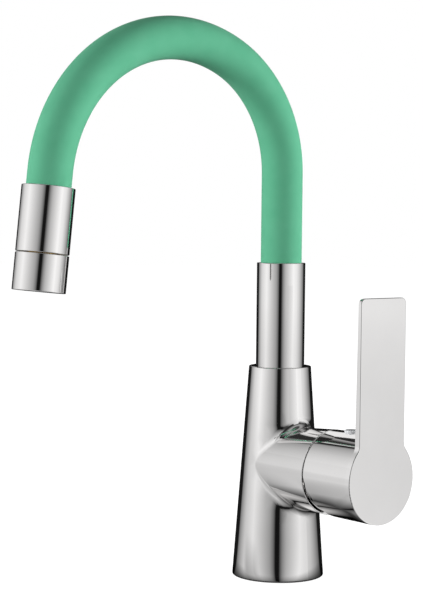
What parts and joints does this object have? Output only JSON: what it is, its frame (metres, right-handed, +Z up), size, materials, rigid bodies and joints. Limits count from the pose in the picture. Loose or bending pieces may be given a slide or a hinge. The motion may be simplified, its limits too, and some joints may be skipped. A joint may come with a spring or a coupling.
{
  "type": "flexible kitchen faucet",
  "caption": "Deck mounted kitchen faucet with a conical chromed column, a side lever and a bendable spout in green silicone with a chromed spray head.",
  "frame": {"origin": "centre of the round foot, on the deck", "axes": "+Z up out of the deck, the spout reaches towards -Y, the lever stands on the +X side"},
  "size_m": [0.1041, 0.1958, 0.2985],
  "materials": {
    "chrome": "polished",
    "green_silicone": "matte",
    "brass": "machined",
    "steel": "bright drawn",
    "seal_rubber": "matte",
    "ceramic": "lapped ceramic",
    "cartridge_plastic": "moulded",
    "acetal": "moulded",
    "hose_rubber": "matte",
    "button_plastic": "gloss"
  },
  "bodies": {
    "base": {"faucet_body": "chrome", "base_gasket": "seal_rubber", "spout_retaining_screw": "steel", "swivel_bush": "acetal", "cartridge_base": "cartridge_plastic", "port_seals": "seal_rubber", "fixed_disc": "ceramic", "cartridge_housing": "cartridge_plastic", "cartridge_nut": "brass", "dome_ring": "chrome"},
    "turret": {"cartridge_turret": "acetal", "turret_seal": "seal_rubber", "stem_pin": "steel"},
    "control_disc": {"moving_disc": "ceramic", "disc_carrier": "acetal"},
    "handle": {"cartridge_stem": "brass", "lever_handle": "chrome", "handle_set_screw": "steel", "index_button": "button_plastic"},
    "spout_base": {"swivel_nipple": "brass", "swivel_seals": "seal_rubber", "column_sleeve": "chrome", "lower_ferrule": "steel", "hose_sheath": "green_silicone", "water_hose": "hose_rubber", "gooseneck_base": "steel"},
    "lean_1": {"gooseneck_lean_1": "steel"},
    "lean_2": {"gooseneck_lean_2": "steel"},
    "lean_3": {"gooseneck_lean_3": "steel"},
    "arch_1": {"gooseneck_arch_1": "steel"},
    "arch_2": {"gooseneck_arch_2": "steel"},
    "arch_3": {"gooseneck_arch_3": "steel"},
    "arch_4": {"gooseneck_arch_4": "steel"},
    "arch_5": {"gooseneck_arch_5": "steel"},
    "head": {"gooseneck_head": "steel", "upper_ferrule": "steel", "head_sleeve": "chrome", "head_coupling": "brass", "coupling_seal": "seal_rubber", "collar_clip": "steel"},
    "selector": {"selector_collar": "chrome", "aerator_body": "acetal", "flow_straightener": "acetal", "spray_disc": "cartridge_plastic", "aerator_seal": "seal_rubber"}
  },
  "joints": [
    {"name": "spout_swivel", "type": "hinge", "parent": "base", "child": "spout_base", "pos_m": [0, 0, 0.1095], "axis": [0, 0, 1], "continuous": true},
    {"name": "spout_lean", "type": "hinge", "parent": "spout_base", "child": "lean_1", "pos_m": [0, 0, 0.181], "axis": [0, 1, 0], "range_deg": [-8, 8], "deforming": ["hose_sheath", "water_hose"]},
    {"name": "spout_lean_2", "type": "hinge", "parent": "lean_1", "child": "lean_2", "pos_m": [0, 0, 0.193], "axis": [0, 1, 0], "range_deg": [-8, 8], "deforming": ["hose_sheath", "water_hose"]},
    {"name": "spout_lean_3", "type": "hinge", "parent": "lean_2", "child": "lean_3", "pos_m": [0, 0, 0.205], "axis": [0, 1, 0], "range_deg": [-8, 8], "deforming": ["hose_sheath", "water_hose"]},
    {"name": "spout_bend", "type": "hinge", "parent": "lean_3", "child": "arch_1", "pos_m": [0, -0.00283, 0.23863], "axis": [1, 0, 0], "range_deg": [-12, 3], "deforming": ["hose_sheath", "water_hose"]},
    {"name": "spout_bend_2", "type": "hinge", "parent": "arch_1", "child": "arch_2", "pos_m": [0, -0.02406, 0.27069], "axis": [1, 0, 0], "range_deg": [-12, 3], "deforming": ["hose_sheath", "water_hose"]},
    {"name": "spout_bend_3", "type": "hinge", "parent": "arch_2", "child": "arch_3", "pos_m": [0, -0.05931, 0.28633], "axis": [1, 0, 0], "range_deg": [-12, 3], "deforming": ["hose_sheath", "water_hose"]},
    {"name": "spout_bend_4", "type": "hinge", "parent": "arch_3", "child": "arch_4", "pos_m": [0, -0.0978, 0.28323], "axis": [1, 0, 0], "range_deg": [-12, 3], "deforming": ["hose_sheath", "water_hose"]},
    {"name": "spout_bend_5", "type": "hinge", "parent": "arch_4", "child": "arch_5", "pos_m": [0, -0.13031, 0.26238], "axis": [1, 0, 0], "range_deg": [-12, 3], "deforming": ["hose_sheath", "water_hose"]},
    {"name": "spout_bend_6", "type": "hinge", "parent": "arch_5", "child": "head", "pos_m": [0, -0.14917, 0.22868], "axis": [1, 0, 0], "range_deg": [-12, 3], "deforming": ["hose_sheath", "water_hose"]},
    {"name": "collar_turn", "type": "hinge", "parent": "head", "child": "selector", "pos_m": [0, -0.15678, 0.16769], "axis": [0, -0.108, -0.9942], "range_deg": [0, 90]},
    {"name": "lever_temperature", "type": "hinge", "parent": "base", "child": "turret", "pos_m": [0.035, 0, 0.0614], "axis": [1, 0, 0], "range_deg": [-45, 45]},
    {"name": "lever_flow", "type": "hinge", "parent": "turret", "child": "handle", "pos_m": [0.035, 0, 0.0614], "axis": [0, 1, 0], "range_deg": [0, 20]},
    {"name": "disc_slide", "type": "slide", "parent": "turret", "child": "control_disc", "axis": [0, 0, 1], "range_m": [0, 0.0028]}
  ],
  "couplings": [
    {"joint": "spout_lean_2", "follows": "spout_lean", "ratio": 1},
    {"joint": "spout_lean_3", "follows": "spout_lean", "ratio": 1},
    {"joint": "disc_slide", "follows": "lever_flow", "m_per_rad": 0.007839}
  ]
}
